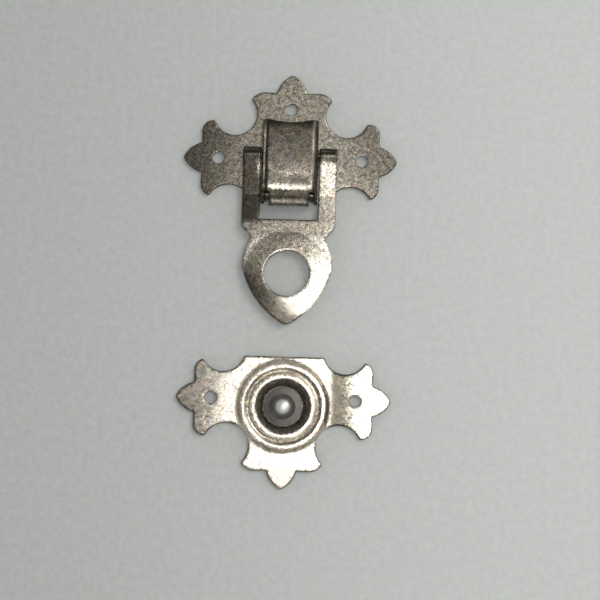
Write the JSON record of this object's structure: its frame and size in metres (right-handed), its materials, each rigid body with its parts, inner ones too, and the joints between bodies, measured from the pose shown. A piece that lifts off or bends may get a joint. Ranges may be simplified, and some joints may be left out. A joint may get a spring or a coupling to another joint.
{
  "type": "toggle latch",
  "caption": "Nickel-plated sheet toggle latch with a flip-up lever and a holed hasp on a base plate, and a separate strike plate with a ball stud.",
  "frame": {"origin": "midway between the two side screw holes of the base plate, on its back face", "axes": "+X to the right along the line of the two side holes, +Y from the strike plate towards the base plate's pointed top arm, +Z out of the mounting face"},
  "size_m": [0.0356, 0.069, 0.006],
  "materials": {
    "satin_nickel": "satin nickel plate with a fine grain",
    "polished_nickel": "polished nickel plate",
    "pin_steel": "drawn wire, plated with the rest"
  },
  "bodies": {
    "base": {"base_plate": "satin_nickel", "strike_plate": "satin_nickel", "ball_stud": "polished_nickel"},
    "lever": {"lever": "satin_nickel", "lever_pin": "pin_steel"},
    "hasp": {"link": "satin_nickel", "link_pin": "pin_steel"}
  },
  "joints": [
    {"name": "lever_flip", "type": "hinge", "parent": "base", "child": "lever", "pos_m": [0, -0.0062, 0.00275], "axis": [1, 0, 0], "range_deg": [0, 140]},
    {"name": "hasp_turn", "type": "hinge", "parent": "lever", "child": "hasp", "pos_m": [0, 0.0006, 0.00195], "axis": [1, 0, 0], "range_deg": [-140, 0]}
  ],
  "couplings": [
    {"joint": "hasp_turn", "follows": "lever_flip", "ratio": -1}
  ]
}
